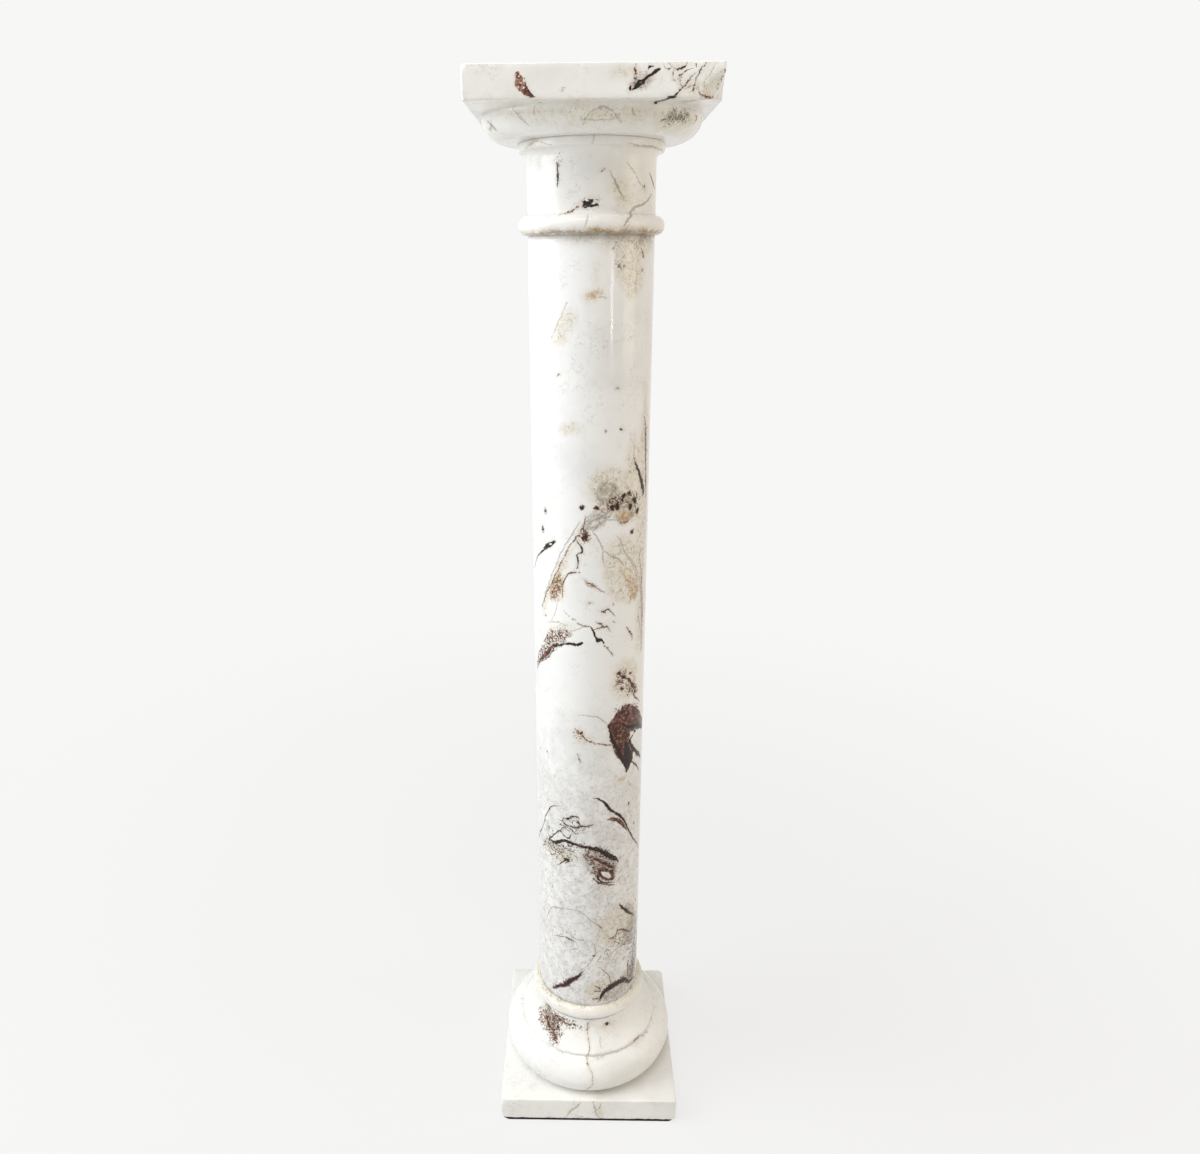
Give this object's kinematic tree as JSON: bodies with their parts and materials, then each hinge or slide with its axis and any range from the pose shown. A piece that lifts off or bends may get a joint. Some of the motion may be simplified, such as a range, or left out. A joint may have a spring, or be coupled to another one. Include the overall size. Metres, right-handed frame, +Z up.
{
  "type": "marble pedestal column",
  "caption": "Free-standing marble column with a square plinth, a moulded round base, a plain round shaft and a moulded capital, whose flat top carries a bust, urn or plant.",
  "frame": {"origin": "centre of the underside of the pad, on the floor under the column's axis", "axes": "+Z up along the column's axis; -Y is the front, +X the right side seen from the front"},
  "size_m": [0.2, 0.2, 1.075],
  "materials": {
    "pad": "matte black rubber and felt sheet",
    "white_marble": "polished white marble with sparse dark and ochre veins",
    "veined_marble": "polished white marble with strong brown and black breccia veins"
  },
  "bodies": {
    "root": {"floor_pad": "pad", "base": "white_marble", "shaft": "veined_marble", "capital": "white_marble"}
  },
  "joints": []
}
